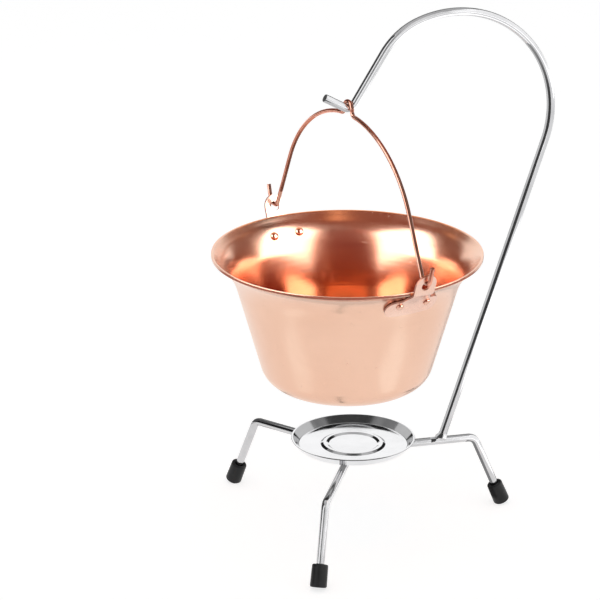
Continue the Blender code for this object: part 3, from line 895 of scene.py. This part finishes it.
def makeRivet():
    top = ear["gap"] * 2 + ear["sheet"]
    under = -bowl["wall"] - ear["gap"]
    outer = [(r, top + z) for r, z in dome(rivet["outer"], rivet["outerRise"])][:-1]
    inner = [(r, under - z) for r, z in dome(rivet["inner"], rivet["innerRise"])][-2::-1]
    # both heads end in a small soft edge
    outer += [(rivet["outer"] - rivet["softEdge"], top + rivet["softOuter"]),
              (rivet["outer"] - rivet["softIn"], top)]
    inner = [(rivet["inner"] - rivet["softIn"], under),
             (rivet["inner"] - rivet["softEdge"], under - rivet["softInner"])] + inner
    shank = [(rivet["shank"], top), (rivet["shank"], under)]
    thing = turnProfile("rivet", outer + shank + inner, rivet["steps"])
    place = Matrix.Translation((rivetAt.x * mm, 0, rivetAt.y * mm))
    thing.matrix_world = place @ Matrix.Rotation(radians(90 + rivetSlope), 4, "Y")
    finishShape(thing)
    return thing


firstRivet = makeRivet()
for earName, turned in (("front", 0.0), ("back", 180.0)):
    for sideName, side in (("left", -1), ("right", 1)):
        piece = copyTo(firstRivet, "rivet" + earName.title() + sideName.title(), potX, rimZ,
                       earLine + turned + side * rivetTurn)
        paint(piece, rivetCopper, "copper_rivet", "cauldron", "rivet_" + earName + "_" + sideName)
discard(firstRivet)
print("rivets done")


# bail: one copper wire, kinked over the hook

bail = {"wire": 1.4, "rise": 104.6, "arc": 81.3, "arcUp": 14.8, "kinkFillet": 3.5, "shoulderTurn": 1.5,
        "shoulderDip": 0.1, "reach": 7.6, "lean": 15.0, "length": 12.2, "bend": 3.0, "hookGap": 0.5,
        "endRound": 0.25, "sides": 20, "kinkSteps": 16, "armSteps": 44}


def bailPoints():
    # one half goes over the hook, down the arm, out through the ear and up, and the other mirrors it
    kinkRadius = rodRadius + bail["wire"] + bail["hookGap"]
    arcTop = bail["arcUp"] + sqrt(bail["arc"] ** 2 - kinkRadius**2)
    kink = arcPoints(0, bail["rise"] - kinkRadius, kinkRadius, 90, 0, bail["kinkSteps"])
    endUp = ear["holeUp"] + ear["hole"] - bail["wire"] - ear["gap"]
    tongueReach = bendAt.x + (endUp - bendAt.y) * leanTan
    inner = tongueReach - bail["reach"] / 2
    outer = tongueReach + bail["reach"] / 2
    leave = atan2(endUp - bail["arcUp"], inner) + acos(bail["arc"] / hypot(inner, endUp - bail["arcUp"]))
    start = pi / 2 - asin((kinkRadius + bail["kinkFillet"]) / bail["arc"]) - radians(bail["shoulderTurn"])
    arm = arcPoints(0, bail["arcUp"], bail["arc"], degrees(start), degrees(leave), bail["armSteps"])
    shoulder = filletLine([kink[-1], (kinkRadius, arcTop - bail["shoulderDip"]), arm[0]],
                          [0, bail["kinkFillet"], 0], 7.0)
    tip = (outer + bail["length"] * tan(radians(bail["lean"])), endUp + bail["length"])
    ends = filletLine([arm[-1], (inner, endUp), (outer, endUp), tip], [0, bail["bend"], bail["bend"], 0], 6.0)
    half = kink[:-1] + shoulder + arm[1:] + ends[1:]
    line = [(-p.x, p.y) for p in half[:0:-1]] + [(p.x, p.y) for p in half]
    a = radians(earLine)
    return [(u * cos(a) + potX, u * sin(a), z + rimZ) for u, z in line]


bailWire = bendWire("bailWire", bailPoints(), bail["wire"], bail["sides"], bail["endRound"])
smooth(bailWire)
paint(bailWire, bailCopper, "copper_wire", "bail", "bail_handle")
print("bail done")


# stand: hook rod, three legs, foot caps and burner dish

stand = {"hangX": -5.0, "archX": 67.6, "archZ": 282.0, "arch": 70.7, "footX": 63.6, "footGap": 0.45,
         "crookFrom": 110.0, "hookFall": 58.0, "tipRise": 29.0, "tipLength": 20.4, "hookBend": 5.0,
         "legFrom": 3.2, "legZ": 54.2, "kneeZ": 51.3, "footReach": 109.9, "shinLean": 23.5, "kneeBend": 7.0,
         "gap": 0.3, "endRound": 0.3, "sides": 28, "archSteps": 60, "crookSteps": 20}
cap = {"foot": 5.6, "top": 5.3, "length": 15.2, "bore": 12.4, "round": 1.2, "lip": 1.2, "mouthRound": 0.5,
       "press": 0.6, "steps": 48}

# how high the end of a shin's line is once its cap is pressed flat, and how far out the knee is above it
lean = radians(stand["shinLean"])
footZ = cap["round"] * (1 - cos(lean)) + (cap["foot"] - cap["round"]) * sin(lean) - cap["press"]
kneeReach = stand["footReach"] - (stand["kneeZ"] - footZ) * tan(lean)


def hookPoints():
    # from the leg up the stem, round the arch, down the falling side and round the hook to its tip
    tipAngle = 180.0 - stand["tipRise"]
    half = radians((tipAngle - stand["hookFall"]) / 2)
    middleWay = radians((tipAngle + stand["hookFall"]) / 2)
    bottom = stand["hookBend"] / sin(half) - stand["hookBend"]
    away = bottom + rodRadius + bail["wire"] + stand["gap"]
    hook = Vector((stand["hangX"] - away * cos(middleWay), rimZ + bail["rise"] - away * sin(middleWay)))
    middle = Vector((stand["archX"], stand["archZ"]))
    legUp = stand["legZ"] + (stand["kneeZ"] - stand["legZ"]) * stand["footX"] / kneeReach
    foot = Vector((stand["footX"], legUp))
    slope = middle - foot
    start = degrees(atan2(slope.y, slope.x) - asin(stand["arch"] / slope.length)) - 90
    arch = arcPoints(middle.x, middle.y, stand["arch"], start, stand["crookFrom"], stand["archSteps"])
    # a tighter arc takes over from the arch, and meets the falling side smoothly
    fall = radians(stand["hookFall"])
    outward = Vector((sin(fall), -cos(fall)))
    toward = radians(stand["crookFrom"])
    crookWay = Vector((cos(toward), sin(toward)))
    share = crookWay.dot(outward)
    crookRadius = ((middle - hook).dot(outward) + stand["arch"] * share) / (1 + share)
    crook = middle + crookWay * (stand["arch"] - crookRadius)
    falling = arcPoints(crook.x, crook.y, crookRadius, stand["crookFrom"], 90 + stand["hookFall"],
                        stand["crookSteps"])
    rise = radians(tipAngle)
    tip = hook + Vector((cos(rise), sin(rise))) * stand["tipLength"]
    end = filletLine([falling[-1], hook, tip], [0, stand["hookBend"], 0], 6.0)
    stemWay = (arch[0] - foot).normalized()
    points = [foot + stemWay * (rodRadius + stand["footGap"])] + arch + falling[1:] + end[1:]
    return [(p.x + standX, 0, p.y) for p in points]


hookRod = bendWire("hookRod", hookPoints(), rodRadius, stand["sides"], stand["endRound"])
smooth(hookRod)
paint(hookRod, rodChrome, "chromed_rod", "stand", "hook_rod")

# each ring of the weld: how far outside the rod, and how high over the end of its line
weld = {"rings": [(-0.25, 2.6), (0.12, 2.3), (0.3, 1.2), (0.9, 0.2), (1.7, -0.7), (1.9, -1.6), (0.9, -2.4),
                  (-0.6, -2.6)],
        "uneven": 0.05, "waves": (2300, 1900, 1700), "flat": 0.42, "flatFrom": 1.2, "flatOver": 3.8,
        "steps": 40}


def makeWeld():
    # a small fillet of weld metal round the foot of the hook rod, spread along the leg
    foot, above = [Vector(p) for p in hookPoints()[:2]]
    profile = [(rodRadius + out, high) for out, high in weld["rings"]]
    profile = [(0, profile[0][1])] + profile + [(0, profile[-1][1])]
    bead = turnProfile("hookWeld", profile, weld["steps"])
    alongX, alongY, alongZ = weld["waves"]
    for vertex in bead.data.vertices:
        # flattened on both sides of the leg, and a little uneven
        waves = sin(vertex.co.x * alongX) + sin(vertex.co.y * alongY + vertex.co.z * alongZ)
        swell = 1 + weld["uneven"] * waves
        below = max(0.0, weld["flatFrom"] - vertex.co.z / mm) / weld["flatOver"]
        vertex.co.y *= swell * (1 - weld["flat"] * below)
        vertex.co.x *= swell
    bead.location = foot * mm
    bead.rotation_euler = (above - foot).normalized().to_track_quat("Z", "X").to_euler()
    finishShape(bead, 60)
    return bead


def makeLeg():
    shin = Vector((sin(lean), -cos(lean)))
    end = Vector((stand["footReach"], footZ)) - shin * (cap["length"] - cap["bore"] + stand["gap"])
    line = filletLine([(stand["legFrom"], stand["legZ"]), (kneeReach, stand["kneeZ"]), end],
                      [0, stand["kneeBend"], 0], 6.0)
    leg = bendWire("leg", [(p.x, 0, p.y) for p in line], rodRadius, stand["sides"], stand["endRound"])
    smooth(leg)
    return leg


def makeCap():
    bore = rodRadius + stand["gap"]
    boreEnd = cap["length"] - cap["bore"]
    outline = filletLine([(0, 0), (cap["foot"], 0), (cap["top"], cap["length"]), (bore, cap["length"]),
                          (bore, boreEnd), (0, boreEnd)],
                         [0, cap["round"], cap["lip"], cap["mouthRound"], 0, 0], 12.0)
    piece = turnProfile("footCap", [(p.x, p.y) for p in outline], cap["steps"])
    place = Matrix.Translation((stand["footReach"] * mm, 0, footZ * mm))
    piece.matrix_world = place @ Matrix.Rotation(-lean, 4, "Y")
    settle(piece)
    # pressed flat where it stands
    editAll()
    bpy.ops.mesh.bisect(plane_co=(0, 0, 0), plane_no=(0, 0, -1), clear_outer=True, use_fill=True)
    leaveEdit()
    pointOut(piece)
    smooth(piece, 40)
    return piece


paint(makeWeld(), weldMetal, "chromed_rod", "stand")

firstLeg = makeLeg()
firstCap = makeCap()
for name, turned in (("right", 0.0), ("left", 120.0), ("front", 238.5)):
    piece = copyTo(firstLeg, "leg" + name.title(), standX, 0, turned)
    paint(piece, rodChrome, "chromed_rod", "stand", "leg_" + name)
    piece = copyTo(firstCap, "footCap" + name.title(), standX, 0, turned)
    paint(piece, capVinyl, "black_vinyl", "stand", "foot_cap_" + name)
discard(firstLeg)
discard(firstCap)

dish = {"radius": 41.9, "floor": 37.0, "tall": 5.9, "sheet": 1.0, "floorBend": 0.8, "underBend": 2.5,
        "bead": 19.1, "beadRise": 1.0, "beadFoot": 2.88, "beadTop": 0.96, "beadBend": 0.5, "beadSoft": 0.45,
        "edgeIn": 0.1, "edgeDrop": 0.3, "edgeSoft": 0.35, "z": 57.25, "steps": 160, "floorRings": 8}


def dishProfile():
    slant = atan2(dish["tall"], dish["radius"] - dish["floor"])
    sheet = dish["sheet"]
    crown = sheet + dish["beadRise"]
    bead = dish["bead"]
    top = filletLine([(0, sheet), (bead - dish["beadFoot"], sheet), (bead - dish["beadTop"], crown),
                      (bead + dish["beadTop"], crown), (bead + dish["beadFoot"], sheet),
                      (dish["floor"] - sheet * tan(slant / 2), sheet),
                      (dish["radius"] - sheet / sin(slant), dish["tall"])],
                     [0, dish["beadBend"], dish["beadSoft"], dish["beadSoft"], dish["beadBend"],
                      dish["floorBend"], 0], 12.0)
    floorRings = [top[0].lerp(top[1], k / dish["floorRings"]) for k in range(dish["floorRings"])]
    under = filletLine([(dish["radius"], dish["tall"] - dish["edgeDrop"]), (dish["floor"], 0), (0, 0)],
                       [0, dish["underBend"], 0], 8.0)
    edge = filletLine([top[-1], Vector((dish["radius"] - dish["edgeIn"], dish["tall"])), under[0]],
                      [0, dish["edgeSoft"], 0], 15.0)
    return [(p.x, p.y + dish["z"]) for p in floorRings + top[1:-1] + edge + under[1:]]


burnerDish = turnProfile("burnerDish", dishProfile(), dish["steps"])
burnerDish.location.x = standX * mm
finishShape(burnerDish, 40)
paint(burnerDish, dishSteel, "polished_steel", "stand", "burner_dish")
print("stand done")


# a cover round the pot's outside, and discs under it and over its mouth, keep its colour out of the rods
# and the dish; like all the cards, they show from their front only
cover = {"gap": 0.7, "steps": 96, "discSteps": 64}
outline = bowlProfile()
widest = max(range(len(outline)), key=lambda k: outline[k][0])
outside = offsetLine([Vector(p) for p in outline[:widest]], -cover["gap"])
potCover = turnProfile("potCover", [(max(p.x, 0.0), p.y) for p in outside], cover["steps"])
potCover.location.x = potX * mm
finishShape(potCover, 60)
hideCard(potCover, coverFelt, "cauldron")

# name, middle, radius, height, turn over, felt, body
discs = [("potCard", potX, 50.0, 100.6, pi, underFelt, "cauldron"),
         ("mouthCard", potX, 89.0, 195.6, 0, coverFelt, "cauldron"),
         ("dishCard", standX, 46.0, 66.0, 0, paleFelt, "stand"),
         ("underDish", standX, 36.0, 57.2, pi, edgeFelt, "stand")]
for name, x, radius, z, turned, felt, body in discs:
    clearSelection()
    bpy.ops.mesh.primitive_circle_add(vertices=cover["discSteps"], radius=radius * mm, fill_type="NGON",
                                      rotation=(turned, 0, 0), location=(x * mm, 0, z * mm))
    disc = named(name)
    settle(disc)
    hideCard(disc, felt, body)

# strips beside a rod or the wire, seen in it as dark streaks between pale bands: how far off in metres,
# then the places along the stem, the arch, the shin and the arm that they follow
strip = {"gap": {"stand": 0.008, "bail": 0.004}, "stem": [(39.9, 52.0), (111.4, 259.0)],
         "arch": (-12.0, 36.0, 8), "shin": (3.0, 47.5), "armSide": 15.0, "armFrom": 221.0, "armTo": 277.0,
         "armDown": 32.0, "across": 6}
archLine = arcPoints(standX + stand["archX"], stand["archZ"], stand["arch"], *strip["arch"])
stemLine = [(x, 0, z) for x, z in strip["stem"]] + [(p.x, 0, p.y) for p in archLine]
shinLine = [(standX + kneeReach + (stand["kneeZ"] - z) * tan(lean), 0, z) for z in strip["shin"]]
arm = [p for p in bailPoints() if p[1] > strip["armSide"] and strip["armFrom"] < p[2] < strip["armTo"]]
armLine = [Vector(p) for p in sorted(arm, key=lambda p: p[2])]
armLine.insert(0, armLine[0] + (armLine[0] - armLine[4]).normalized() * strip["armDown"])
# name, line, where it starts and ends round the line from the camera's side, felt, body
strips = [("leftEdge", stemLine, -170.0, -134.0, edgeFelt, "stand"),
          ("leftBand", stemLine, -134.0, -64.0, bandFelt, "stand"),
          ("darkStreak", stemLine, -64.0, -4.0, streakFelt, "stand"),
          ("rightShinBand", shinLine, -165.0, -25.0, edgeFelt, "stand"),
          ("rightShinEdge", shinLine, 125.0, 165.0, streakFelt, "stand"),
          ("armStreak", armLine, -20.0, 150.0, armFelt, "bail")]
for name, line, start, end, felt, body in strips:
    clearSelection()
    last = len(line) - 1
    bpy.ops.mesh.primitive_grid_add(x_subdivisions=last, y_subdivisions=strip["across"], size=1.0,
                                    location=(0, 0, 0))
    card = named(name)
    for vertex in card.data.vertices:
        place = Vector(line[round((vertex.co.x + 0.5) * last)]) * mm
        vertex.co = place + towards(start + (end - start) * (vertex.co.y + 0.5)) * strip["gap"][body]
    hideCard(card, felt, body)
print("cards placed")
